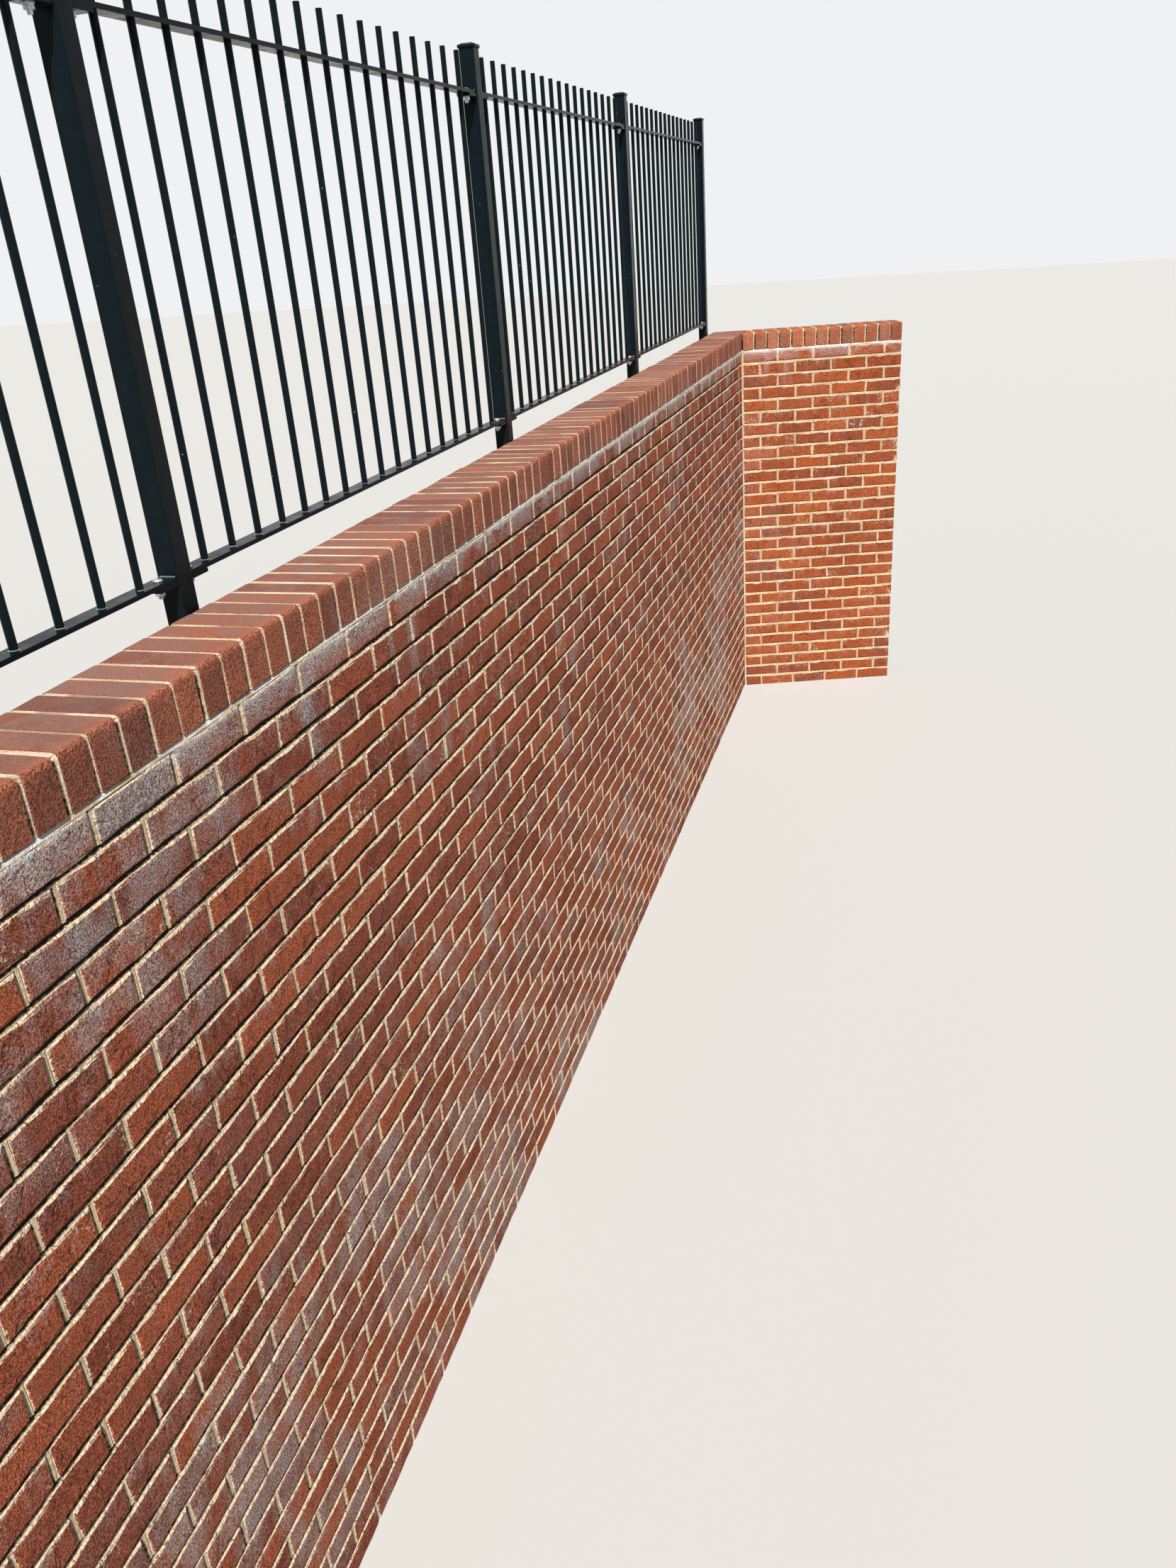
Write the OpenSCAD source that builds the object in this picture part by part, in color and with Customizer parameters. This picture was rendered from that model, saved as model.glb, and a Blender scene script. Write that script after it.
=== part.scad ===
// Brick garden wall: a long wall and a short return leg that opens out past a square corner,
// both under a brick-on-edge coping, with a steel guard railing in four bays behind the long coping.
// Millimetres. X runs along the long wall, Y from its front face to its back, Z up from its foot.

/* [Walls] */
// Length of the main wall along its front face, from the free end to the inner corner
wall_l = 7870; // [6000:5:9500]
// Height of the brickwork under the coping
wall_h = 2250; // [1800:75:2775]
// Thickness of both walls
wall_t = 327.5; // [320:0.5:440]
// Length of the return wall along its front face
return_l = 1012.5; // [600:12.5:2400]
// Angle by which the return wall opens out past a square corner
splay = 16.4; // [0:0.1:30]

/* [Coping] */
// Depth of the coping, from the wall's front face
coping_d = 215; // [175:1:240]
// Height of the coping
coping_h = 102.5; // [80:0.5:125]
// Radius of the coping's worn long edges
coping_r = 8; // [2:0.5:15]
// Mortar joint between the two copings
coping_joint = 10; // [5:1:15]

/* [Posts] */
// Width of a square post
post_w = 50; // [40:1:60]
// Radius of a post's upright corners
post_r = 4; // [1:0.5:8]
// Height of a post over its base plate
post_h = 1282; // [1150:1:1500]
// Free end of the main wall to the first post's centre
post_end = 104; // [80:1:300]
// Inner corner to the last post's centre, which stands past it
post_corner = 10; // [-200:1:40]
// How far the second post stands off its even place, towards the corner
post_2_shift = -30; // [-60:1:60]
// How far the third post stands off its even place, towards the corner
post_3_shift = 56; // [-60:1:60]
// How far the fourth post stands off its even place, towards the corner
post_4_shift = 48; // [-60:1:60]
// Thickness of a post's base plate
plate_t = 10; // [6:1:16]
// Width of a post's base plate along the wall
plate_w = 100; // [80:1:140]
// Gap between the coping's back and the railing's foot
plate_gap = 2.5; // [1:0.5:10]
// Distance of a base plate from the wall's back face
plate_margin = 10; // [2:1:20]
// How far the cap's rim stands out past the post on each side
cap_over = 4.5; // [2:0.5:8]
// Height of the cap's underside, which narrows down to the post
cap_under = 3; // [1:0.5:6]
// Height of the cap's upright rim
cap_rim = 7; // [4:0.5:14]
// Height of the cap's sloping top
cap_rise = 5; // [2:0.5:15]
// How far the cap's slopes run in from its rim
cap_slope = 11; // [6:0.5:18]

/* [Railing] */
// Upright bars in the first bay, where they stand wider apart
first_bars = 15; // [10:1:18]
// Upright bars in each of the other bays
bars = 17; // [10:1:18]
// Diameter of a bar
bar_d = 16; // [10:1:20]
// Length of a bar that stands over the top rail
bar_over = 102; // [40:1:140]
// Width of a rail
rail_w = 40; // [25:1:50]
// Thickness of a rail
rail_t = 10; // [6:1:14]
// Clear height between the coping and the bottom rail
rail_clear = 66; // [40:0.5:100]
// Clear height between the two rails
rail_span = 988; // [850:1:1100]
// Gap between a rail's end and the post
rail_gap = 2; // [1:0.5:4]
// Length of a cleat that carries a rail's end
cleat_l = 60; // [45:1:80]
// Width of a cleat
cleat_w = 44; // [30:1:60]
// Thickness of a cleat
cleat_t = 8; // [5:1:12]

/* [Hidden] */
$fn = 48;
// A cap is a hull, so its small corners take fewer facets
CAP_FN = 24;

// Four bays of railing stand between five posts, each at its even place plus its shift
bays = 4;
even_bay = (wall_l + post_corner - post_end) / bays;
post_shifts = [0, post_2_shift, post_3_shift, post_4_shift, 0];
function post_x(i) = -wall_l + post_end + (i - 1) * even_bay + post_shifts[i - 1];

// Heights of the coping's top, the plates' top, the rails' undersides and the bars' tips
coping_z = wall_h + coping_h;
foot_z = wall_h + plate_t;
rail_z = [coping_z + rail_clear, coping_z + rail_clear + rail_t + rail_span];
bar_top_z = rail_z[1] + rail_t + bar_over;
post_top_z = foot_z + post_h;

// Depth of the ledge that a plate fills, and the post's centre line, flush with the plate's front
plate_d = wall_t - coping_d - plate_gap - plate_margin;
plate_y = coping_d + plate_gap;
post_y = plate_y + post_w / 2;

// Width and corner radius of a cap's rim
cap_w = post_w + 2 * cap_over;
cap_r = post_r + cap_over;

// Plan point on the return leg, s along its front face from the inner corner and t behind that face
function leg(s, t) = [s * sin(splay) + t * cos(splay), t * sin(splay) - s * cos(splay)];
// How far past the inner corner the two legs' lines at depth t cross
function mitre(t) = t * (1 - sin(splay)) / cos(splay);

// The origin is the centre of the whole footprint, on the ground
mid_x = (leg(return_l, wall_t)[0] - wall_l) / 2;
mid_y = (wall_t + leg(return_l, 0)[1]) / 2;

BRICK = "#8a4a3a";
COPING = "#6b3a34";
STEEL = "#14161c";

module placed() { translate([-mid_x, -mid_y, 0]) children(); }

module main_wall()
    color(BRICK) placed() linear_extrude(wall_h)
        polygon([[-wall_l, 0], [0, 0], [mitre(wall_t), wall_t], [-wall_l, wall_t]]);

module return_wall()
    color(BRICK) placed() linear_extrude(wall_h)
        polygon([leg(0, 0), leg(return_l, 0), leg(return_l, wall_t), [mitre(wall_t), wall_t]]);

// Upright section of a coping with its two top edges rounded
module coping_section() {
    square([coping_d, coping_h - coping_r]);
    translate([coping_r, 0]) square([coping_d - 2 * coping_r, coping_h]);
    for (y = [coping_r, coping_d - coping_r]) translate([y, coping_h - coping_r]) circle(coping_r);
}

// Coping section drawn out along X from x0 to x1
module coping_bar(x0, x1)
    translate([x0, 0, wall_h]) rotate([90, 0, 90]) linear_extrude(x1 - x0) coping_section();

// The main coping runs on over the corner, up to the back line of the return coping
module main_coping()
    color(COPING) placed() intersection() {
        coping_bar(-wall_l, leg(0, coping_d)[0] + coping_d);
        translate([0, 0, wall_h]) linear_extrude(coping_h)
            polygon([[-wall_l, 0], [coping_d / cos(splay), 0], [mitre(coping_d), coping_d],
                     [-wall_l, coping_d]]);
    }

// The return coping starts a mortar joint away from the main one's front face
module return_coping()
    color(COPING) placed() intersection() {
        rotate([0, 0, splay - 90]) coping_bar(0, return_l);
        translate([0, 0, wall_h]) linear_extrude(coping_h)
            polygon([leg(coping_joint / cos(splay), 0), leg(return_l, 0), leg(return_l, coping_d),
                     leg(coping_d * tan(splay) + coping_joint / cos(splay), coping_d)]);
    }

module base_plate(i)
    color(STEEL) placed()
        translate([post_x(i) - plate_w / 2, plate_y, wall_h]) cube([plate_w, plate_d, plate_t]);

// A cleat runs out from the post's centre on one side of it, with its top under a rail
module cleat(side, z)
    translate([side > 0 ? 0 : -post_w / 2 - cleat_l, -cleat_w / 2, z - cleat_t])
        cube([post_w / 2 + cleat_l, cleat_w, cleat_t]);

// Square outline of a given width with round corners
module round_square(w, r) {
    square([w, w - 2 * r], center = true);
    square([w - 2 * r, w], center = true);
    for (x = [-1, 1], y = [-1, 1]) translate([x, y] * (w / 2 - r)) circle(r);
}

// The two end posts carry cleats on their inner side only
module post(i)
    color(STEEL) placed() translate([post_x(i), post_y, 0]) {
        translate([0, 0, foot_z]) linear_extrude(post_h) round_square(post_w, post_r);
        for (side = [-1, 1], z = rail_z)
            if ((side > 0 && i <= bays) || (side < 0 && i > 1)) cleat(side, z);
    }

// Cap: narrows down to the post under its upright rim, and slopes up to a flat top over it
module post_cap(i)
    color(STEEL) placed() translate([post_x(i), post_y, post_top_z]) hull() {
        linear_extrude(cap_under) round_square(post_w, post_r, $fn = CAP_FN);
        translate([0, 0, cap_under]) linear_extrude(cap_rim) round_square(cap_w, cap_r, $fn = CAP_FN);
        linear_extrude(cap_under + cap_rim + cap_rise)
            round_square(cap_w - 2 * cap_slope, post_r, $fn = CAP_FN);
    }

// A panel: two flat rails with the bars welded through them, resting on the cleats at each end
module railing_panel(i) {
    bay_l = post_x(i + 1) - post_x(i);
    rail_l = bay_l - post_w - 2 * rail_gap;
    bar_count = i == 1 ? first_bars : bars;
    color(STEEL) placed() translate([post_x(i), post_y, 0]) {
        for (z = rail_z)
            translate([post_w / 2 + rail_gap, -rail_w / 2, z]) cube([rail_l, rail_w, rail_t]);
        for (k = [1:bar_count])
            translate([k * bay_l / (bar_count + 1), 0, rail_z[0]])
                cylinder(h = bar_top_z - rail_z[0], d = bar_d);
    }
}

main_wall();
return_wall();
main_coping();
return_coping();
for (i = [1:bays + 1]) {
    base_plate(i);
    post(i);
    post_cap(i);
}
for (i = [1:bays])
    railing_panel(i);
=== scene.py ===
"""Looks of a brick garden wall with a steel guard railing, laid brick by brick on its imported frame."""
import math
import random

import bmesh
import bpy
from mathutils import Matrix, Vector


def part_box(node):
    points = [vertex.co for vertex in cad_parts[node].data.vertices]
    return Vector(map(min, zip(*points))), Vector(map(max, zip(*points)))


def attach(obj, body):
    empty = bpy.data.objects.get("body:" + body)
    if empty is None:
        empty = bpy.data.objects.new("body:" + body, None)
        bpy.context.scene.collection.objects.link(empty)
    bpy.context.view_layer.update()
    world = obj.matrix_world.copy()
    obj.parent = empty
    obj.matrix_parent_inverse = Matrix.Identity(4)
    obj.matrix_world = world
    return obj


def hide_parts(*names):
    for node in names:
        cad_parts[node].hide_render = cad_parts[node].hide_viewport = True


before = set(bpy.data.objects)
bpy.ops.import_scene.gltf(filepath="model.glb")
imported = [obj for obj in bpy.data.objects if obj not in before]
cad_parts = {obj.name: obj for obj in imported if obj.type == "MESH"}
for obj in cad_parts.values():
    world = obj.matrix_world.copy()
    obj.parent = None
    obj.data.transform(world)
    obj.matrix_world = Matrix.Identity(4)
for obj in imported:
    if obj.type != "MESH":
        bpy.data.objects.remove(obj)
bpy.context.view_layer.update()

# Sizes of the brickwork, in metres
STRETCHER = 0.215
HEADER = 0.1025
BED = 0.065
JOINT = 0.010
COURSE = BED + JOINT
GAUGE = STRETCHER + JOINT
LEAST_CUT = 0.015
MAIN_COPING_PITCH = 0.077
RETURN_COPING_PITCH = 0.078
RETURN_COPING_END = 0.0015

# How deep a joint's face lies, and how much deeper it falls to its far side
MAIN_BED = (0.0036, 0.0060)
MAIN_HEAD = (0.0026, 0.0028)
RETURN_BED = (0.0014, 0.0032)
RETURN_HEAD = (0.0014, 0.0016)
TOP_BED = (0.0014, 0.0034)
COPING_JOINT = (0.0024, 0.0055)
FALL_CURVE = 1.5

# How deep the mortar's core, its free end and its top lie, and how wavy its face is
CORE_RECESS = 0.0105
CORE_TOP_RECESS = 0.008
END_RECESS = 0.003
TOP_RECESS = 0.0014
MORTAR_WAVES = 0.0012
BED_PIECE = 0.12

# How the bricks stray from their lines, and how worn their edges are
SUNK = 0.0010
SLIP = 0.001
LEAN = 0.004
COPING_SUNK = 0.0016
COPING_DRIFT = 0.0020
COPING_SHAKE = 0.0006
REACH_BACK = 0.004
RAGGED = 0.0026
RAGGED_IN = 0.25
EDGE_CUTS = 4
ARRIS = 0.0054
COPING_ARRIS = 0.0042
WORN_ARRIS = 0.010

# How many bars each bay has, and the sizes of the railing's parts and fixings
BARS = (15, 17, 17, 17)
BAYS = len(BARS)
BAR_OVER = 0.102
POST_WIDTH = 0.050
RAIL_GAP = 0.002
RAIL_THICK = 0.010
CLEAT_THICK = 0.008
BOLT_OUT = (0.022, 0.034)
SHIM = Vector((0.0016, 0.036, 0.0118))
BEAD = (0.0022, 0.0026, 0.038)
DOME = (0.011, 0.0068)
ANCHOR_INSET = (0.0125, 0.0225)
WELD_FOOT = (0.0098, 0.0107)
WELD_TOP = 0.0082
WELD_RISE = (0.0009, 0.0014)
WELD_SIDES = 14

# A bolt's turned parts downwards and an anchor's upwards: lower and upper radius, height, sides
BOLT_PARTS = ((0.0115, 0.0115, 0.0016, 20), (0.0107, 0.0107, 0.009, 6), (0.0052, 0.0058, 0.007, 12))
ANCHOR_PARTS = ((0.0105, 0.0105, 0.0016, 20), (0.0098, 0.0098, 0.008, 6), (0.005, 0.0044, 0.009, 12))

# The return leg, as the part's source has it
SPLAY = math.radians(16.4)
RETURN_LENGTH = 1.0125

# Where the frame holds the walls
main_low, main_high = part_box("main_wall")
coping_low, coping_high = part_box("main_coping")
WALL_TOP = main_high.z
WALL_DEPTH = main_high.y - main_low.y
COPING_TOP = coping_high.z
COPING_DEPTH = coping_high.y - coping_low.y
COURSES = round(WALL_TOP / COURSE)
MITRE = WALL_DEPTH * (1 - math.sin(SPLAY)) / math.cos(SPLAY)
CORNER = Vector((main_high.x - MITRE, main_low.y, 0))
MAIN_LENGTH = CORNER.x - main_low.x
UP = Vector((0, 0, 1))
FREE_END = Vector((1, 0, 0))
MAIN_BEHIND = Vector((0, 1, 0))
RETURN_BEHIND = Vector((math.cos(SPLAY), math.sin(SPLAY), 0))

# The camera, measured from the inner corner at ground level
CAMERA_FROM_CORNER = Vector((-7.9065, -1.2488, 3.0099))
CAMERA_YAW = 0.3027
CAMERA_PITCH = 0.4365
CAMERA_ROLL = 0.0726
FOCAL_PIXELS = 1675.13
IMAGE_HEIGHT_PIXELS = 2212
SENSOR = 36.0
FAR_CLIP = 100

# The key light and the surround
KEY_STRENGTH = 6.6
KEY_SPREAD = math.radians(2.5)
KEY_FROM = Vector((-0.80, -0.29, 1.0))
FILL_STRENGTH = 0.17
FLOOR_REACH = 60

dice = random.Random(41)


def paint(red, green, blue):
    """A colour with nothing seen through it."""
    return (red, green, blue, 1.0)


# Tones of what lies on the bricks, in their joints and on the steel, and of the shade painted deep in the
# joints
SALTS = paint(0.64, 0.60, 0.61)
SALT_LIP = paint(0.78, 0.75, 0.73)
LIME_WASH = paint(0.80, 0.81, 0.83)
WALL_FLECK = paint(0.66, 0.58, 0.50)
COPING_FLECK = paint(0.60, 0.53, 0.45)
COPING_BLOOM = paint(0.60, 0.53, 0.50)
BURNT_BRICK = paint(0.14, 0.066, 0.060)
SMEARED_MORTAR = paint(0.64, 0.51, 0.36)
SAND = paint(0.34, 0.26, 0.175)
# Painted shade: the near-black that the mortar is painted deep in its joints, where the bricks' shadow
# falls
JOINT_PAINTED_SHADE = paint(0.035, 0.026, 0.021)
BRICK_GRIME = paint(0.24, 0.13, 0.09)
BLACK_PAINT = paint(0.0032, 0.0074, 0.0100)
DUSTY_PAINT = paint(0.0085, 0.0135, 0.0165)
BARE_CHIP = paint(0.55, 0.58, 0.60)

# Depths under the wall's top between which each film of salts sets in or fades out
LOW_SALTS = (0.4, 1.5)
CREST_SALTS = (0.10, 0.015)
RUNNING_SALTS = (0.36, 0.06)
LIP_SALTS = (0.027, 0.018)
WASHED_JOINTS = (0.045, 0.012)

# Stretch of the wall along which the far salts and the coping's bloom change
FAR_STRETCH = (CORNER.x - 6.0, CORNER.x - 1.0)


class Look:
    """A procedural material and the few kinds of node that the finishes are mixed from."""

    def __init__(self, name, gloss=0.5):
        self.material = bpy.data.materials.new(name)
        self.material.use_nodes = True
        self.tree = self.material.node_tree
        self.tree.nodes.clear()
        self.shader = self.node("ShaderNodeBsdfPrincipled")
        self.shader.inputs["Specular IOR Level"].default_value = gloss
        self.put(self.shader.outputs[0], self.node("ShaderNodeOutputMaterial").inputs[0])
        self.place = self.node("ShaderNodeTexCoord").outputs["Object"]

    def node(self, kind, **settings):
        made = self.tree.nodes.new(kind)
        for key, value in settings.items():
            setattr(made, key, value)
        return made

    def put(self, value, socket):
        if isinstance(value, bpy.types.NodeSocket):
            self.tree.links.new(value, socket)
        else:
            socket.default_value = value

    def set(self, **inputs):
        for key, value in inputs.items():
            self.put(value, self.shader.inputs[key.replace("_", " ")])

    def stretched(self, scale, at=None):
        made = self.node("ShaderNodeMapping")
        self.put(self.place if at is None else at, made.inputs["Vector"])
        made.inputs["Scale"].default_value = scale
        return made.outputs[0]

    def noise(self, scale, detail=4.0, roughness=0.55, distortion=0.0, at=None):
        made = self.node("ShaderNodeTexNoise")
        self.put(self.place if at is None else at, made.inputs["Vector"])
        made.inputs["Scale"].default_value = scale
        made.inputs["Detail"].default_value = detail
        made.inputs["Roughness"].default_value = roughness
        made.inputs["Distortion"].default_value = distortion
        return made.outputs["Fac"]

    def cells(self, scale, at=None):
        made = self.node("ShaderNodeTexVoronoi")
        self.put(self.place if at is None else at, made.inputs["Vector"])
        made.inputs["Scale"].default_value = scale
        return made.outputs["Distance"]

    def math(self, operation, a, b=0.0, clamp=False):
        made = self.node("ShaderNodeMath", operation=operation, use_clamp=clamp)
        self.put(a, made.inputs[0])
        self.put(b, made.inputs[1])
        return made.outputs[0]

    def times(self, a, b):
        return self.math("MULTIPLY", a, b)

    def vector(self, operation, a, b):
        made = self.node("ShaderNodeVectorMath", operation=operation)
        self.put(a, made.inputs[0])
        self.put(b, made.inputs["Scale"] if operation == "SCALE" else made.inputs[1])
        return made.outputs["Value" if operation == "DOT_PRODUCT" else "Vector"]

    def axis(self, name, of=None):
        made = self.node("ShaderNodeSeparateXYZ")
        self.put(self.place if of is None else of, made.inputs[0])
        return made.outputs[name]

    def facing(self):
        return self.node("ShaderNodeNewGeometry").outputs["True Normal"]

    def spread(self, value, low, high, to_low=0.0, to_high=1.0):
        made = self.node("ShaderNodeMapRange", interpolation_type="SMOOTHSTEP")
        for socket, given in zip(made.inputs, (value, low, high, to_low, to_high)):
            self.put(given, socket)
        return made.outputs[0]

    def under_top(self, height, depths, to_low=0.0, to_high=1.0):
        return self.spread(height, WALL_TOP - depths[0], WALL_TOP - depths[1], to_low, to_high)

    def mix(self, share, a, b):
        made = self.node("ShaderNodeMix", data_type="RGBA")
        for number, given in ((0, share), (6, a), (7, b)):
            self.put(given, made.inputs[number])
        return made.outputs[2]

    def shaded(self, colour, value):
        made = self.node("ShaderNodeHueSaturation")
        self.put(colour, made.inputs["Color"])
        self.put(value, made.inputs["Value"])
        return made.outputs[0]

    def bump(self, height, distance, over=None):
        made = self.node("ShaderNodeBump")
        self.put(height, made.inputs["Height"])
        made.inputs["Distance"].default_value = distance
        if over is not None:
            self.put(over, made.inputs["Normal"])
        return made.outputs[0]


def own_pattern(look):
    """A place on the wall that is shifted for each brick, and the brick's three random numbers."""
    mark = look.node("ShaderNodeAttribute", attribute_name="brick").outputs["Vector"]
    own = look.vector("ADD", look.place, look.vector("SCALE", mark, 9.0))
    return own, [look.axis(name, mark) for name in "XYZ"]


def depth_from_front(look, behind):
    """How deep a place lies behind the front face of its leg."""
    return look.vector("DOT_PRODUCT", look.vector("SUBTRACT", look.place, CORNER), behind)


def depth_in(look, behind, thickness):
    """How deep a place lies in a wall or coping, from the nearer one of its two faces."""
    depth = depth_from_front(look, behind)
    return look.math("MINIMUM", depth, look.math("SUBTRACT", thickness, depth))


def veil_of_salts(look, up, kind, haze):
    """The thin film of salts, in patches and more of it low on the wall."""
    low = look.math("ADD", look.under_top(up, LOW_SALTS, 0.0, 0.06),
                    look.spread(look.axis("X"), *FAR_STRETCH, 0.01, -0.015))
    veil = look.noise(9, 4, 0.6, 0.0, look.stretched((1.0, 1.0, 0.6)))
    veil = look.math("ADD", look.times(look.noise(1.3, 3, 0.5), veil), low)
    veil = look.math("ADD", veil, look.spread(kind, 0.0, 1.0, -0.05, 0.05))
    return look.spread(veil, 0.27, 0.46, 0.0, haze)


def strong_salts(look, up):
    """The thick salts: drips from the joints, a crest under the coping and long runs down from it."""
    below_joint = look.math("FRACT", look.math("DIVIDE", look.math("SUBTRACT", WALL_TOP, up), COURSE))
    drips = look.spread(look.noise(34, 3, 0.6, 0.0, look.stretched((1.0, 1.0, 0.14))), 0.46, 0.66)
    drips = look.times(drips, look.spread(below_joint, 0.10, 0.75, 1.0, 0.0))
    drips = look.times(drips, look.spread(look.noise(2.4, 3, 0.5), 0.42, 0.62))
    crest = look.times(look.under_top(up, CREST_SALTS), look.spread(look.noise(6.5, 4, 0.6), 0.35, 0.53))
    runs = look.noise(11, 3, 0.5, 0.0, look.stretched((1.0, 1.0, 0.12)))
    runs = look.times(look.under_top(up, RUNNING_SALTS), look.spread(runs, 0.56, 0.72, 0.0, 0.8))
    return look.math("MAXIMUM", look.math("MAXIMUM", crest, runs), look.times(drips, 0.75))


def add_salts(look, base, stipple, kind, haze, crest_salts):
    """Lays the salts over the bricks, thin in the stipple's pits, with a white lip under the coping."""
    up = look.axis("Z")
    strong = look.times(strong_salts(look, up), crest_salts)
    salts = look.math("ADD", veil_of_salts(look, up, kind, haze), strong, True)
    base = look.mix(look.times(salts, look.spread(stipple, 0.42, 0.58, 0.2, 1.0)), base, SALTS)
    wave = look.times(look.math("SUBTRACT", look.noise(38, 4, 0.65), 0.5), 0.05)
    lip = look.under_top(look.math("ADD", up, wave), LIP_SALTS)
    lip = look.times(lip, look.spread(look.noise(3.1, 3, 0.5), 0.36, 0.50, 0.1, 0.9))
    return look.mix(look.times(lip, crest_salts), base, SALT_LIP)


def smears(look, behind, own):
    """Where mortar laps over a brick's rounded upper edges, ragged as a trowel leaves it."""
    depth = depth_in(look, behind, WALL_DEPTH)
    edge = look.times(look.math("SUBTRACT", look.noise(120, 3, 0.6, 0.5, own), 0.5), 0.006)
    level = look.axis("Z", look.facing())
    lapped = look.spread(look.math("ADD", depth, edge), 0.0016, 0.0024)
    lapped = look.times(lapped, look.spread(level, -0.35, -0.05))
    lapped = look.times(lapped, look.spread(depth, ARRIS, ARRIS + 0.002, 1.0, 0.0))
    ledge = look.times(look.spread(level, 0.2, 0.35),
                       look.spread(look.noise(70, 3, 0.6, 0.5, own), 0.34, 0.46))
    return look.math("MAXIMUM", lapped, ledge)


def brick_look(name, behind, tones, haze, crest_salts, relief):
    """Fired clay with a tone of its own for each brick, a stippled face and a film of salts; painted shade
    in the stipple's pits, low lumps and dents.
    """
    look = Look(name, 0.1)
    own, (tone, hue, kind) = own_pattern(look)
    cloud = look.noise(13, 5, 0.6, 0.4, own)
    stipple = look.noise(290, 2.2, 0.62, 0.0, own)
    lumps = look.noise(110, 2, 0.5, 0.3, own)
    dents = look.spread(look.noise(24, 3, 0.6, 0.8, own), 0.58, 0.68)
    grain = look.noise(620, 2, 0.6, 0.0, own)
    dark, light, purple = tones
    base = look.mix(tone, dark, light)
    base = look.mix(look.spread(hue, 0.50, 1.0, 0.0, 0.85), base, purple)
    base = look.mix(look.spread(cloud, 0.35, 0.7, 0.0, 0.5), base, light)
    # Painted shade: the stipple's pits, the low lumps and the dents are painted darker, the raised grain
    # lighter
    shade = look.times(look.spread(stipple, 0.34, 0.62, 0.44, 1.36),
                       look.spread(grain, 0.25, 0.75, 0.85, 1.15))
    shade = look.times(shade, look.spread(lumps, 0.3, 0.6, 0.88, 1.05))
    shade = look.times(shade, look.math("SUBTRACT", 1.0, look.times(dents, 0.22)))
    base = add_salts(look, look.shaded(base, shade), stipple, kind, haze, crest_salts)
    fleck = look.spread(look.cells(58, own), 0.05, 0.09, 0.5, 0.0)
    base = look.mix(look.times(fleck, look.spread(kind, 0.4, 1.0)), base, WALL_FLECK)
    smear = smears(look, behind, own)
    base = look.mix(smear, base, SMEARED_MORTAR)
    rough = look.bump(look.spread(smear, 0.0, 1.2, stipple, 0.5), 0.0125 * relief)
    rough = look.bump(lumps, 0.007 * relief, rough)
    rough = look.bump(look.math("SUBTRACT", 1.0, dents), 0.005 * relief, rough)
    look.set(Base_Color=base, Roughness=0.86, Normal=look.bump(grain, 0.0007, rough))
    return look.material


def coping_look(name, behind, tones, haze):
    """Coping brick: dusty and smooth on top, orange at the worn edge, rough and pitted on its ends; painted
    shade in the pits, and ends painted lighter than tops for how the light falls.
    """
    look = Look(name, 0.1)
    own, (tone, hue, kind) = own_pattern(look)
    up = look.axis("Z")
    level = look.spread(look.axis("Z", look.facing()), 0.75, 0.98)
    cloud = look.noise(16, 5, 0.62, 0.6, own)
    stipple = look.noise(245, 2.4, 0.64, 0.0, own)
    grain = look.noise(560, 2, 0.6, 0.0, own)
    drag = look.noise(30, 4, 0.6, 0.3, look.stretched((1.0, 0.25, 1.0), own))
    dark, light, dust = tones
    clay = look.mix(tone, dark, light)
    end = look.mix(look.spread(cloud, 0.4, 0.68, 0.0, 0.45), clay, dark)
    top = look.mix(look.spread(cloud, 0.34, 0.60, 0.15, 0.8), clay, dust)
    top = look.mix(look.spread(drag, 0.5, 0.7, 0.0, 0.4), top, light)
    base = look.mix(level, end, top)
    base = look.mix(look.spread(hue, 0.7, 1.0, 0.0, 0.6), base, BURNT_BRICK)
    near_arris = look.times(look.spread(depth_from_front(look, behind), 0.0, 0.04, 1.0, 0.0),
                            look.spread(up, COPING_TOP - 0.035, COPING_TOP - 0.003))
    base = look.mix(look.times(near_arris, look.spread(cloud, 0.3, 0.6, 0.15, 0.7)), base, light)
    smooth = look.spread(level, 0.0, 1.0, 1.0, 0.25)
    # Painted shade in the stipple's pits, strong on the ends and weak on the smooth tops
    pit_shade = look.times(look.spread(stipple, 0.36, 0.60, 0.56, -0.20), smooth)
    shade = look.times(look.math("SUBTRACT", 1.04, pit_shade), look.spread(grain, 0.25, 0.75, 0.88, 1.1))
    # Painted light and shade: the ends are painted lighter and the tops darker, for how each faces the key
    # light
    base = look.shaded(base, look.times(shade, look.spread(level, 0.0, 1.0, 1.16, 0.76)))
    bloom = look.noise(12, 4, 0.6, 0.0, look.stretched((1.0, 1.0, 0.5)))
    bloom = look.times(look.noise(1.7, 3, 0.5), bloom)
    bloom = look.math("ADD", bloom, look.spread(look.axis("X"), *FAR_STRETCH, -0.02, 0.04))
    bloom = look.times(look.spread(bloom, 0.20, 0.38, 0.0, haze),
                       look.spread(up, COPING_TOP - 0.004, COPING_TOP - 0.013))
    base = look.mix(look.times(bloom, look.spread(stipple, 0.40, 0.60, 0.3, 1.0)), base, COPING_BLOOM)
    fleck = look.spread(look.cells(42, own), 0.045, 0.08, 0.8, 0.0)
    base = look.mix(look.times(fleck, look.spread(kind, 0.55, 1.0)), base, COPING_FLECK)
    rough = look.bump(look.times(stipple, smooth), 0.0110)
    rough = look.bump(drag, 0.002, rough)
    look.set(Base_Color=base, Roughness=0.84, Normal=look.bump(grain, 0.0008, rough))
    return look.material


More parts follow.
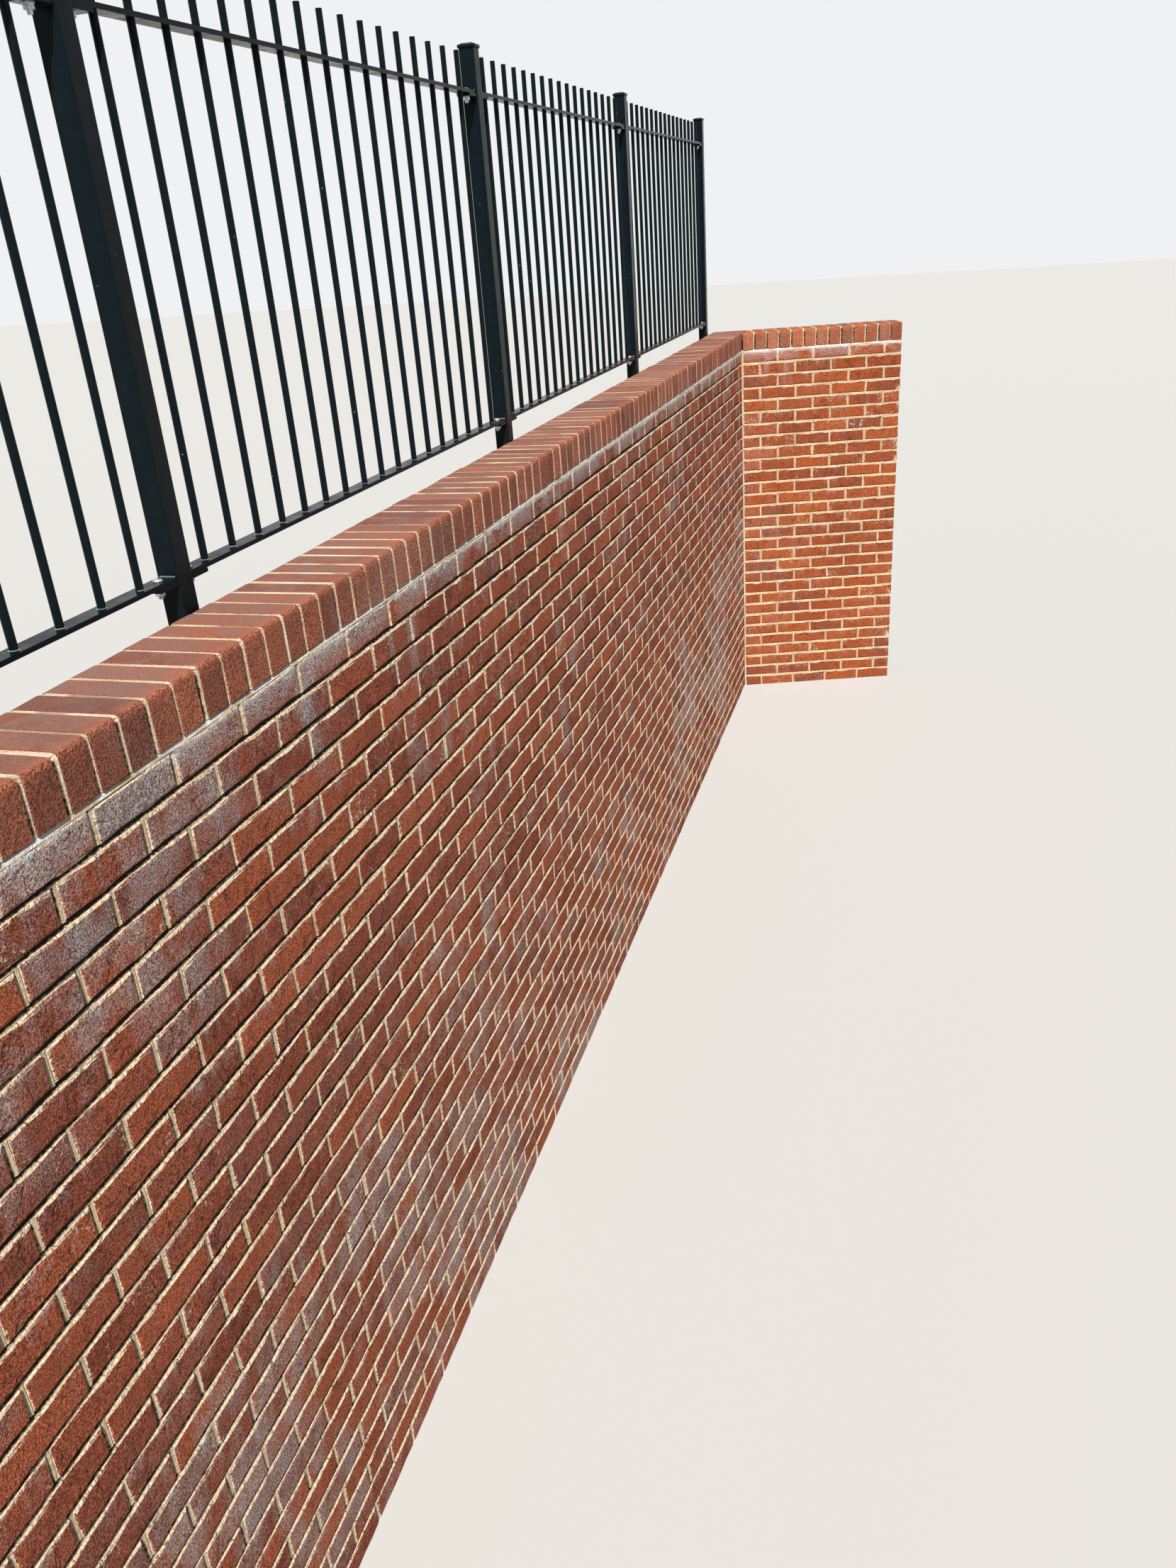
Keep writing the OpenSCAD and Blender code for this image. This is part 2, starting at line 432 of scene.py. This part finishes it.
def mortar_look(name, behind, thickness, tones):
    """Sandy mortar, painted dark with shade deep in the joints, and washed white right under the coping."""
    look = Look(name, 0.15)
    sand = look.noise(430, 3, 0.7)
    lumps = look.noise(95, 4, 0.65)
    dull, pale = tones
    base = look.mix(look.spread(look.noise(8, 4, 0.6), 0.3, 0.7), dull, pale)
    base = look.mix(look.spread(sand, 0.35, 0.65, 0.45, 0.0), base, SAND)
    up = look.axis("Z")
    outwards = look.math("ABSOLUTE", look.vector("DOT_PRODUCT", look.facing(), behind))
    outwards = look.spread(outwards, 0.2, 0.5)
    wash = look.times(look.under_top(up, WASHED_JOINTS),
                      look.spread(up, WALL_TOP, WALL_TOP + 0.006, 1.0, 0.0))
    wash = look.times(wash, look.spread(look.noise(13, 4, 0.6), 0.42, 0.56, 0.1, 0.85))
    base = look.mix(look.times(wash, outwards), base, LIME_WASH)
    waves = look.spread(lumps, 0.3, 0.7, -0.0010, 0.0010)
    depth = look.math("ADD", depth_in(look, behind, thickness), waves)
    below = look.spread(up, COPING_TOP - WORN_ARRIS, COPING_TOP - WORN_ARRIS - 0.004)
    # Painted shade: the deeper the mortar lies in its joint, the darker it is painted, most on faces that
    # look outwards
    deep_joint_shade = look.times(look.spread(depth, 0.0044, 0.0058), below)
    deep_joint_shade = look.times(deep_joint_shade, look.spread(outwards, 0.0, 1.0, 0.15, 1.0))
    base = look.mix(deep_joint_shade, base, JOINT_PAINTED_SHADE)
    grime = look.times(look.spread(look.noise(5.5, 2, 0.5), 0.54, 0.62, 0.0, 0.7),
                       look.math("SUBTRACT", 1.0, below))
    base = look.mix(grime, base, BRICK_GRIME)
    rough = look.bump(lumps, 0.0045)
    look.set(Base_Color=base, Roughness=0.95, Normal=look.bump(sand, 0.0014, rough))
    return look.material


def steel_look():
    """Thick gloss black paint, with dust, small chips and the slight waves of brushed enamel."""
    look = Look("gloss_black_paint", 0.07)
    wave = look.noise(16, 3, 0.5, 0.2, look.stretched((1.0, 1.0, 0.2)))
    dust = look.spread(look.noise(34, 5, 0.65), 0.48, 0.75, 0.0, 0.35)
    chip = look.spread(look.cells(46), 0.035, 0.06, 1.0, 0.0)
    chip = look.times(chip, look.spread(look.noise(6, 2, 0.5), 0.55, 0.62))
    base = look.mix(chip, look.mix(dust, BLACK_PAINT, DUSTY_PAINT), BARE_CHIP)
    gloss = look.spread(look.noise(22, 4, 0.6), 0.3, 0.7, 0.18, 0.34)
    look.set(Base_Color=base, Roughness=gloss, Normal=look.bump(wave, 0.0012))
    return look.material


def zinc_look(name, bright, dull):
    """Zinc of the bolts, or the bare steel of the welds at the bars' feet."""
    look = Look(name)
    tarnish = look.spread(look.noise(240, 4, 0.6), 0.35, 0.7)
    look.set(Base_Color=look.mix(tarnish, bright, dull),
             Roughness=look.spread(tarnish, 0.0, 1.0, 0.25, 0.5))
    look.shader.inputs["Metallic"].default_value = 0.7
    return look.material


def floor_look():
    """A plain floor, pale to the eye and in gloss, that throws back less light than it shows."""
    look = Look("pale_floor")
    rays = look.node("ShaderNodeLightPath").outputs
    seen = look.math("MAXIMUM", rays["Is Camera Ray"], rays["Is Glossy Ray"])
    seen = look.math("MAXIMUM", seen, rays["Is Transmission Ray"])
    look.set(Base_Color=look.mix(seen, paint(0.22, 0.21, 0.19), paint(0.46, 0.46, 0.455)), Roughness=0.9)
    return look.material


# Dark, light and purple tones of the bricks; dark, light and dusty ones of the coping
MAIN_TONES = (paint(0.29, 0.080, 0.047), paint(0.55, 0.151, 0.077), paint(0.32, 0.120, 0.092))
RETURN_TONES = (paint(0.31, 0.070, 0.026), paint(0.43, 0.110, 0.035), paint(0.24, 0.070, 0.038))
MAIN_COPING_TONES = (paint(0.250, 0.088, 0.060), paint(0.46, 0.155, 0.088), paint(0.29, 0.170, 0.142))
RETURN_COPING_TONES = (paint(0.32, 0.090, 0.042), paint(0.50, 0.155, 0.066), paint(0.40, 0.155, 0.090))
# Dull and pale tones of the mortar
CREAM = (paint(0.55, 0.43, 0.29), paint(0.74, 0.60, 0.42))
CLEAN = (paint(0.58, 0.48, 0.34), paint(0.82, 0.71, 0.54))
SANDY = (paint(0.50, 0.37, 0.235), paint(0.68, 0.54, 0.36))

MAIN_BRICK = brick_look("main_brick", MAIN_BEHIND, MAIN_TONES, 0.76, 1.0, 1.0)
RETURN_BRICK = brick_look("return_brick", RETURN_BEHIND, RETURN_TONES, 0.10, 0.55, 0.6)
MAIN_COPING = coping_look("main_coping_brick", MAIN_BEHIND, MAIN_COPING_TONES, 0.2)
RETURN_COPING = coping_look("return_coping_brick", RETURN_BEHIND, RETURN_COPING_TONES, 0.15)
MAIN_MORTAR = mortar_look("main_mortar", MAIN_BEHIND, WALL_DEPTH, CREAM)
RETURN_MORTAR = mortar_look("return_mortar", RETURN_BEHIND, WALL_DEPTH, SANDY)
MAIN_COPING_MORTAR = mortar_look("main_coping_mortar", MAIN_BEHIND, COPING_DEPTH, CLEAN)
RETURN_COPING_MORTAR = mortar_look("return_coping_mortar", RETURN_BEHIND, COPING_DEPTH, SANDY)
STEEL = steel_look()
ZINC = zinc_look("bright_zinc", paint(0.55, 0.60, 0.66), paint(0.32, 0.35, 0.38))
WELD = zinc_look("bare_weld", paint(0.40, 0.42, 0.44), paint(0.10, 0.10, 0.105))


def piece(name, bm, materials, slot, *nodes):
    """Makes a bmesh a piece of the object, which rides on the wall and stands for the given nodes."""
    mesh = bpy.data.meshes.new(name)
    bm.to_mesh(mesh)
    bm.free()
    for material in materials:
        mesh.materials.append(material)
    made = bpy.data.objects.new(name, mesh)
    bpy.context.scene.collection.objects.link(made)
    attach(made, "root")
    if nodes:
        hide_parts(*nodes)


def leg_place(along, behind):
    """Turns (along a leg from the inner corner, behind its face, up) into the frame's X, Y and Z."""
    turn = Matrix((along, behind, UP)).transposed().to_4x4()
    return Matrix.Translation(CORNER) @ turn


MAIN_LEG = leg_place((-1, 0, 0), MAIN_BEHIND)
RETURN_LEG = leg_place((math.sin(SPLAY), -math.cos(SPLAY), 0), RETURN_BEHIND)
# The plane that parts the legs, and the square end of a coping, both seen from a leg
MITRE_POINT = Vector((0, 0, 0))
MITRE_OUTWARD = Vector((-WALL_DEPTH, -MITRE, 0)).normalized()
COPING_CUT = Vector((-math.cos(SPLAY), math.sin(SPLAY), 0))


def trim(bm, point, outward):
    """Cuts off what lies beyond a plane and closes the cut shells."""
    everything = bm.verts[:] + bm.edges[:] + bm.faces[:]
    cut = bmesh.ops.bisect_plane(bm, geom=everything, dist=1e-5, plane_co=point, plane_no=outward,
                                 clear_outer=True)
    rim = [e for e in cut["geom_cut"] if isinstance(e, bmesh.types.BMEdge)]
    bmesh.ops.holes_fill(bm, edges=rim, sides=0)


def block(bm, low, high):
    """A block between two corners."""
    place = Matrix.Translation((low + high) / 2) @ Matrix.Diagonal((high - low).to_4d())
    return bmesh.ops.create_cube(bm, size=1, matrix=place)["verts"]


def shake(reach):
    """A small random step, up to a reach on each axis."""
    return Vector((dice.uniform(-reach, reach), dice.uniform(-reach, reach), dice.uniform(-reach, reach)))


def brick(bm, low, high, mark):
    """One brick, hardly out of line, with three random numbers of its own for its look."""
    middle = (low + high) / 2
    lean = Matrix.Rotation(dice.uniform(-LEAN, LEAN), 3, "Y")
    lean = lean @ Matrix.Rotation(dice.uniform(-LEAN, LEAN), 3, "Z")
    slip = shake(SLIP)
    slip.y = 0
    corners = block(bm, low, high)
    for v in corners:
        v.co = middle + slip + lean @ (v.co - middle)
    own = Vector((dice.random(), dice.random(), dice.random()))
    for face in {f for v in corners for f in v.link_faces}:
        face[mark] = own


def rims(bm, outward, beyond):
    """The edges round the faces that look outwards from beyond a plane."""
    bm.normal_update()
    shown = {f for f in bm.faces
             if f.normal.dot(outward) > 0.9 and f.calc_center_median().dot(outward) > beyond}
    return {e for f in shown for e in f.edges if sum(k in shown for k in e.link_faces) == 1}


def round_off(bm, edges, size, segments):
    """Rounds the given edges."""
    bmesh.ops.bevel(bm, geom=list(edges), offset=size, offset_type="OFFSET", segments=segments, profile=0.5,
                    affect="EDGES", material=-1, clamp_overlap=True)


def ragged(bm, outward, beyond):
    """Shifts the corners near a face a little along it, so no two edges run alike, and hardly in or out."""
    for v in bm.verts:
        if v.co.dot(outward) > beyond:
            slip = shake(RAGGED)
            v.co += slip - outward * slip.dot(outward) * (1 - RAGGED_IN)


def keep_inside(bm, least, most):
    """Holds every corner inside a box."""
    for v in bm.verts:
        v.co = Vector([min(max(c, a), b) for c, a, b in zip(v.co, least, most)])


def course_bricks(length, start, header_first):
    """Where the bricks of a course start and end, laid from the free end back to the corner."""
    marks = []
    high = length
    if header_first:
        marks.append((high - HEADER, high))
        high -= HEADER + JOINT
    while high > start + LEAST_CUT:
        marks.append((max(high - STRETCHER, start), high))
        high -= GAUGE
    return marks


def join(target, part):
    """Adds one bmesh to another."""
    mesh = bpy.data.meshes.new("part")
    part.to_mesh(mesh)
    part.free()
    target.from_mesh(mesh)
    bpy.data.meshes.remove(mesh)


def finish(bm, place):
    """Moves a leg's mesh from its own axes into the frame, with its faces outwards."""
    bmesh.ops.transform(bm, matrix=place, verts=bm.verts)
    bmesh.ops.recalc_face_normals(bm, faces=bm.faces)


def struck(target, low, high, joint, back, axis, cuts=0):
    """A strip of mortar in a joint, with its face falling back towards the high side of one axis."""
    recess, fall = joint
    face_at = WALL_DEPTH - recess if back else recess
    inner = WALL_DEPTH - CORE_RECESS - JOINT if back else CORE_RECESS + JOINT
    near, far = (inner, face_at) if back else (face_at, inner)
    bm = bmesh.new()
    block(bm, Vector((low[0], near, low[1])), Vector((high[0], far, high[1])))
    if cuts:
        long_edges = [e for e in bm.edges if e.calc_length() > STRETCHER]
        bmesh.ops.subdivide_edges(bm, edges=long_edges, cuts=cuts)
    foot, width = low[axis // 2], high[axis // 2] - low[axis // 2]
    across = [e for e in bm.edges if abs((e.verts[0].co - e.verts[1].co)[axis]) > width / 2]
    if axis == 2 or not cuts:
        bmesh.ops.subdivide_edges(bm, edges=across, cuts=1)
    inward = -1 if back else 1
    for v in bm.verts:
        if abs(v.co.y - face_at) < 1e-6:
            deep = fall * max((v.co[axis] - foot) / width, 0) ** FALL_CURVE
            v.co.y += inward * (deep + dice.uniform(0, MORTAR_WAVES))
    join(target, bm)


def wall_mortar(length, start, header_on_top, bed, head):
    """The mortar of a leg: its core, and the struck bed and head joints of both faces."""
    bm = bmesh.new()
    end = length - END_RECESS
    for back in (False, True):
        from_here = -MITRE if back else start
        cuts = int((end - from_here) / BED_PIECE)
        for course in range(COURSES):
            foot = WALL_TOP - (course + 1) * COURSE
            joint = TOP_BED if course == 0 else bed
            struck(bm, (from_here - JOINT, foot + BED), (end, foot + COURSE), joint, back, 2, cuts)
            header_first = (course % 2 == 0) == (header_on_top != back)
            for low, _ in course_bricks(length, from_here, header_first):
                struck(bm, (low - JOINT, foot), (low, foot + BED), head, back, 0)
    block(bm, Vector((-MITRE - HEADER, CORE_RECESS, 0)), Vector((end, WALL_DEPTH - CORE_RECESS, WALL_TOP)))
    for v in bm.verts:
        v.co.z = min(max(v.co.z, 0), WALL_TOP)
    trim(bm, MITRE_POINT, MITRE_OUTWARD)
    return bm


def add_skin(target, length, start, back, header_on_top):
    """One face of a leg: bricks in half-bond, turned on alternate courses at the free end."""
    bm = bmesh.new()
    mark = bm.faces.layers.float_vector.new("brick")
    for course in range(COURSES):
        foot = WALL_TOP - (course + 1) * COURSE
        header_first = (course % 2 == 0) == header_on_top
        for number, (low, high) in enumerate(course_bricks(length, start, header_first)):
            depth = STRETCHER if number == 0 and header_first else HEADER
            sunk = dice.uniform(0.0, SUNK)
            near, far = (WALL_DEPTH - depth, WALL_DEPTH - sunk) if back else (sunk, depth)
            brick(bm, Vector((low, near, foot)), Vector((high, far, foot + BED)), mark)
    long_edges = [e for e in bm.edges if e.calc_length() > 1.5 * HEADER]
    bmesh.ops.subdivide_edges(bm, edges=long_edges, cuts=EDGE_CUTS)
    outward = Vector((0, 1 if back else -1, 0))
    face_at = (WALL_DEPTH if back else 0) - REACH_BACK
    end_at = length - REACH_BACK
    round_off(bm, rims(bm, outward, face_at) | rims(bm, FREE_END, end_at), ARRIS, 2)
    ragged(bm, outward, face_at)
    ragged(bm, FREE_END, end_at)
    keep_inside(bm, Vector((-MITRE - STRETCHER, 0, 0)), Vector((length, WALL_DEPTH, WALL_TOP)))
    if back:
        trim(bm, MITRE_POINT - MITRE_OUTWARD * JOINT / 2, MITRE_OUTWARD)
    join(target, bm)


def lay_leg(node, leg, length, start, header_on_top, material, mortar, bed, head):
    """A whole leg of the wall: both brick faces, and the mortar that they stand in."""
    bricks = bmesh.new()
    bricks.faces.layers.float_vector.new("brick")
    add_skin(bricks, length, start, False, header_on_top)
    add_skin(bricks, length, -MITRE, True, not header_on_top)
    finish(bricks, leg)
    piece(node + "_bricks", bricks, [material], "red_brick", node)
    joints = wall_mortar(length, start, header_on_top, bed, head)
    finish(joints, leg)
    piece(node + "_mortar", joints, [mortar], "cream_mortar")


def along_leg(edges):
    """Those edges of the coping that run along the leg."""
    return {e for e in edges if abs((e.verts[0].co - e.verts[1].co).y) < 0.01}


def coping_bricks(length, first, pitch, cut_at):
    """Bricks on edge along a leg, with worn long edges."""
    bm = bmesh.new()
    mark = bm.faces.layers.float_vector.new("brick")
    high = first
    while high > cut_at - COPING_DEPTH:
        front, back, drop = (dice.uniform(0, COPING_SUNK) for _ in range(3))
        at = high + dice.uniform(-COPING_DRIFT, COPING_DRIFT)
        brick(bm, Vector((at - BED, front, WALL_TOP)),
              Vector((at, COPING_DEPTH - back, COPING_TOP - drop)), mark)
        high -= pitch
    round_off(bm, along_leg(rims(bm, UP, COPING_TOP - REACH_BACK)), WORN_ARRIS, 3)
    shown = rims(bm, UP, COPING_TOP - REACH_BACK)
    for outward, at in ((Vector((0, -1, 0)), 0), (Vector((0, 1, 0)), COPING_DEPTH)):
        shown |= rims(bm, outward, at - REACH_BACK)
    round_off(bm, {e for e in shown if e.calc_face_angle(0) > 1}, COPING_ARRIS, 2)
    for v in bm.verts:
        v.co += shake(COPING_SHAKE)
    keep_inside(bm, Vector((cut_at - 2 * COPING_DEPTH, 0, WALL_TOP)),
                Vector((length, COPING_DEPTH, COPING_TOP)))
    trim(bm, Vector((cut_at, 0, 0)), COPING_CUT)
    return bm


def coping_mortar(length, first, pitch, cut_at):
    """The joints between a leg's bricks on edge, deeper along one side, and the mortar's core."""
    bm = bmesh.new()
    recess, fall = COPING_JOINT
    high = first - BED
    while high > cut_at - COPING_DEPTH:
        sunk = TOP_RECESS + dice.uniform(0, SUNK)
        block(bm, Vector((high - pitch + BED - COPING_DRIFT, recess, WALL_TOP)),
              Vector((high + COPING_DRIFT, COPING_DEPTH - recess, COPING_TOP - sunk)))
        high -= pitch
    round_off(bm, along_leg(rims(bm, UP, COPING_TOP - REACH_BACK)), WORN_ARRIS - 0.001, 3)
    for v in bm.verts:
        v.co += shake(MORTAR_WAVES / 2)
        if v.co.y < WORN_ARRIS / 2 and (v.co.x - first + JOINT / 2) % pitch > JOINT:
            v.co.y += fall
    keep_inside(bm, Vector((cut_at - 2 * COPING_DEPTH, 0, WALL_TOP)),
                Vector((length, COPING_DEPTH, COPING_TOP)))
    block(bm, Vector((cut_at - COPING_DEPTH, CORE_RECESS, WALL_TOP)),
          Vector((length - CORE_RECESS, COPING_DEPTH - CORE_RECESS, COPING_TOP - CORE_TOP_RECESS)))
    trim(bm, Vector((cut_at, 0, 0)) - COPING_CUT * CORE_RECESS, COPING_CUT)
    return bm


def lay_coping(node, leg, length, first, pitch, cut_at, material, mortar):
    """The coping of a leg: its bricks on edge, and the mortar that they stand in."""
    bricks = coping_bricks(length, first, pitch, cut_at)
    finish(bricks, leg)
    piece(node + "_bricks", bricks, [material], "coping_brick", node)
    joints = coping_mortar(length, first, pitch, cut_at)
    finish(joints, leg)
    piece(node + "_mortar", joints, [mortar], "cream_mortar")


lay_leg("main_wall", MAIN_LEG, MAIN_LENGTH, 0.0, False, MAIN_BRICK, MAIN_MORTAR, MAIN_BED, MAIN_HEAD)
lay_leg("return_wall", RETURN_LEG, RETURN_LENGTH, JOINT, True, RETURN_BRICK, RETURN_MORTAR,
        RETURN_BED, RETURN_HEAD)
lay_coping("main_coping", MAIN_LEG, MAIN_LENGTH, MAIN_LENGTH, MAIN_COPING_PITCH,
           -COPING_DEPTH / math.cos(SPLAY), MAIN_COPING, MAIN_COPING_MORTAR)
lay_coping("return_coping", RETURN_LEG, RETURN_LENGTH, RETURN_LENGTH - RETURN_COPING_END,
           RETURN_COPING_PITCH, JOINT / math.cos(SPLAY), RETURN_COPING, RETURN_COPING_MORTAR)


def turned(bm, place, wide, narrow, height, sides):
    """An upright round or many-sided solid that stands on a place."""
    bmesh.ops.create_cone(bm, cap_ends=True, segments=sides, radius1=wide, radius2=narrow, depth=height,
                          matrix=Matrix.Translation(place + UP * height / 2))


def dome(bm, place, radius, height):
    """The domed head of a bolt, standing on a place."""
    half = bmesh.new()
    bmesh.ops.create_uvsphere(half, u_segments=16, v_segments=8, radius=radius)
    trim(half, Vector((0, 0, 0)), -UP)
    flat = Matrix.Translation(place) @ Matrix.Diagonal((1, 1, height / radius, 1))
    bmesh.ops.transform(half, verts=half.verts, matrix=flat)
    for face in half.faces:
        face.smooth = abs(face.normal.z) < 0.99
    join(bm, half)


def bolt_through(bm, place, grip):
    """A bolt with its head over a place, and its washer, nut and thread under what it grips."""
    dome(bm, place, *DOME)
    under = place - UP * grip
    for wide, narrow, height, sides in BOLT_PARTS:
        under = under - UP * height
        turned(bm, under, wide, narrow, height, sides)


def anchor(bm, place):
    """A stud with its washer and nut, standing up through a base plate."""
    for wide, narrow, height, sides in ANCHOR_PARTS:
        turned(bm, place, wide, narrow, height, sides)
        place = place + UP * height


def weld_bars(number):
    """The welds at the feet of a bay's bars, bright on the bottom rail and painted over on the top one."""
    low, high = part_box(f"railing_panel_{number}")
    start, end = low.x - RAIL_GAP - POST_WIDTH / 2, high.x + RAIL_GAP + POST_WIDTH / 2
    bars = BARS[number - 1]
    bm = bmesh.new()
    for rail, top in enumerate((low.z + RAIL_THICK, high.z - BAR_OVER)):
        for bar in range(1, bars + 1):
            middle = Vector((start + (end - start) * bar / (bars + 1), (low.y + high.y) / 2, top))
            turned(bm, middle, dice.uniform(*WELD_FOOT), WELD_TOP, dice.uniform(*WELD_RISE), WELD_SIDES)
            for face in bm.faces[-WELD_SIDES - 2:]:
                face.material_index = rail
    piece(f"bar_welds_{number}", bm, [WELD, STEEL], "zinc_fixings")


def fix_rails():
    """Bolts that hold the rails' ends to the cleats, shims beside the posts, and the cleats' weld beads."""
    bolts, beads = bmesh.new(), bmesh.new()
    lying = Matrix.Rotation(math.pi / 2, 4, "X")
    for number in range(1, BAYS + 1):
        low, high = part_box(f"railing_panel_{number}")
        middle = (low.y + high.y) / 2
        for top in (low.z + RAIL_THICK, high.z - BAR_OVER):
            for post_at, way, out in ((low.x - RAIL_GAP, 1, BOLT_OUT[0]),
                                      (high.x + RAIL_GAP, -1, BOLT_OUT[1])):
                bolt_through(bolts, Vector((post_at + way * out, middle, top)), RAIL_THICK + CLEAT_THICK)
                shim_at = Vector((post_at + way * RAIL_GAP / 2, middle, top - RAIL_THICK + SHIM.z / 2))
                block(bolts, shim_at - SHIM / 2, shim_at + SHIM / 2)
                for level in (top - RAIL_THICK - CLEAT_THICK, top - RAIL_THICK):
                    place = Matrix.Translation((post_at, middle, level)) @ lying
                    bmesh.ops.create_cone(beads, cap_ends=True, segments=8, radius1=BEAD[0],
                                          radius2=BEAD[1], depth=BEAD[2], matrix=place)
    piece("rail_bolts", bolts, [ZINC], "zinc_fixings")
    piece("cleat_welds", beads, [STEEL], "black_steel")


def fix_plates():
    """Four anchors through each base plate, beside and behind its post."""
    bm = bmesh.new()
    in_x, in_y = ANCHOR_INSET
    for number in range(1, BAYS + 2):
        low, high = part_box(f"base_plate_{number}")
        for x in (low.x + in_x, high.x - in_x):
            for y in (low.y + in_y, high.y - in_y):
                anchor(bm, Vector((x, y, high.z)))
    piece("base_plate_anchors", bm, [ZINC], "zinc_fixings")


for bay in range(1, BAYS + 1):
    weld_bars(bay)
fix_rails()
fix_plates()

# The steel nodes keep their own shape and take the paint
for name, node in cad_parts.items():
    if name.startswith(("post", "base_plate", "railing_panel")):
        node.data.materials.clear()
        node.data.materials.append(STEEL)


def add_camera():
    """The camera stands where the photograph was taken from."""
    ahead = Vector((math.cos(CAMERA_YAW) * math.cos(CAMERA_PITCH),
                    math.sin(CAMERA_YAW) * math.cos(CAMERA_PITCH), -math.sin(CAMERA_PITCH)))
    level = Vector((math.sin(CAMERA_YAW), -math.cos(CAMERA_YAW), 0))
    down = ahead.cross(level)
    right = math.cos(CAMERA_ROLL) * level + math.sin(CAMERA_ROLL) * down
    below = math.cos(CAMERA_ROLL) * down - math.sin(CAMERA_ROLL) * level
    data = bpy.data.cameras.new("camera")
    data.sensor_width = SENSOR
    data.lens = SENSOR * FOCAL_PIXELS / IMAGE_HEIGHT_PIXELS
    data.clip_end = FAR_CLIP
    camera = bpy.data.objects.new("camera", data)
    turn = Matrix((right, -below, -ahead)).transposed().to_4x4()
    camera.matrix_world = Matrix.Translation(CORNER + CAMERA_FROM_CORNER) @ turn
    bpy.context.scene.collection.objects.link(camera)
    bpy.context.scene.camera = camera


def add_light():
    """A high key light that rakes the main wall, and an even pale surround."""
    data = bpy.data.lights.new("key", "SUN")
    data.energy = KEY_STRENGTH
    data.angle = KEY_SPREAD
    data.color = (1.0, 0.965, 0.91)
    key = bpy.data.objects.new("key", data)
    key.matrix_world = KEY_FROM.to_track_quat("Z", "Y").to_matrix().to_4x4()
    bpy.context.scene.collection.objects.link(key)
    world = bpy.data.worlds.new("surround")
    world.use_nodes = True
    tree = world.node_tree
    fill = tree.nodes["Background"]
    fill.inputs["Color"].default_value = paint(0.86, 0.91, 1.0)
    fill.inputs["Strength"].default_value = FILL_STRENGTH
    seen = tree.nodes.new("ShaderNodeBackground")
    seen.inputs["Color"].default_value = paint(0.87, 0.88, 0.89)
    rays = tree.nodes.new("ShaderNodeLightPath").outputs
    shown = rays["Is Camera Ray"]
    for kind in ("Is Glossy Ray", "Is Transmission Ray"):
        either = tree.nodes.new("ShaderNodeMath")
        either.operation = "MAXIMUM"
        tree.links.new(shown, either.inputs[0])
        tree.links.new(rays[kind], either.inputs[1])
        shown = either.outputs[0]
    blend = tree.nodes.new("ShaderNodeMixShader")
    tree.links.new(shown, blend.inputs[0])
    tree.links.new(fill.outputs[0], blend.inputs[1])
    tree.links.new(seen.outputs[0], blend.inputs[2])
    tree.links.new(blend.outputs[0], tree.nodes["World Output"].inputs["Surface"])
    bpy.context.scene.world = world


def add_floor():
    """A plain floor, far wider than the view."""
    bm = bmesh.new()
    bmesh.ops.create_grid(bm, x_segments=1, y_segments=1, size=FLOOR_REACH)
    mesh = bpy.data.meshes.new("floor")
    bm.to_mesh(mesh)
    bm.free()
    mesh.materials.append(floor_look())
    floor = bpy.data.objects.new("floor", mesh)
    bpy.context.scene.collection.objects.link(floor)


add_floor()
add_camera()
add_light()
bpy.context.scene.view_settings.view_transform = "Standard"
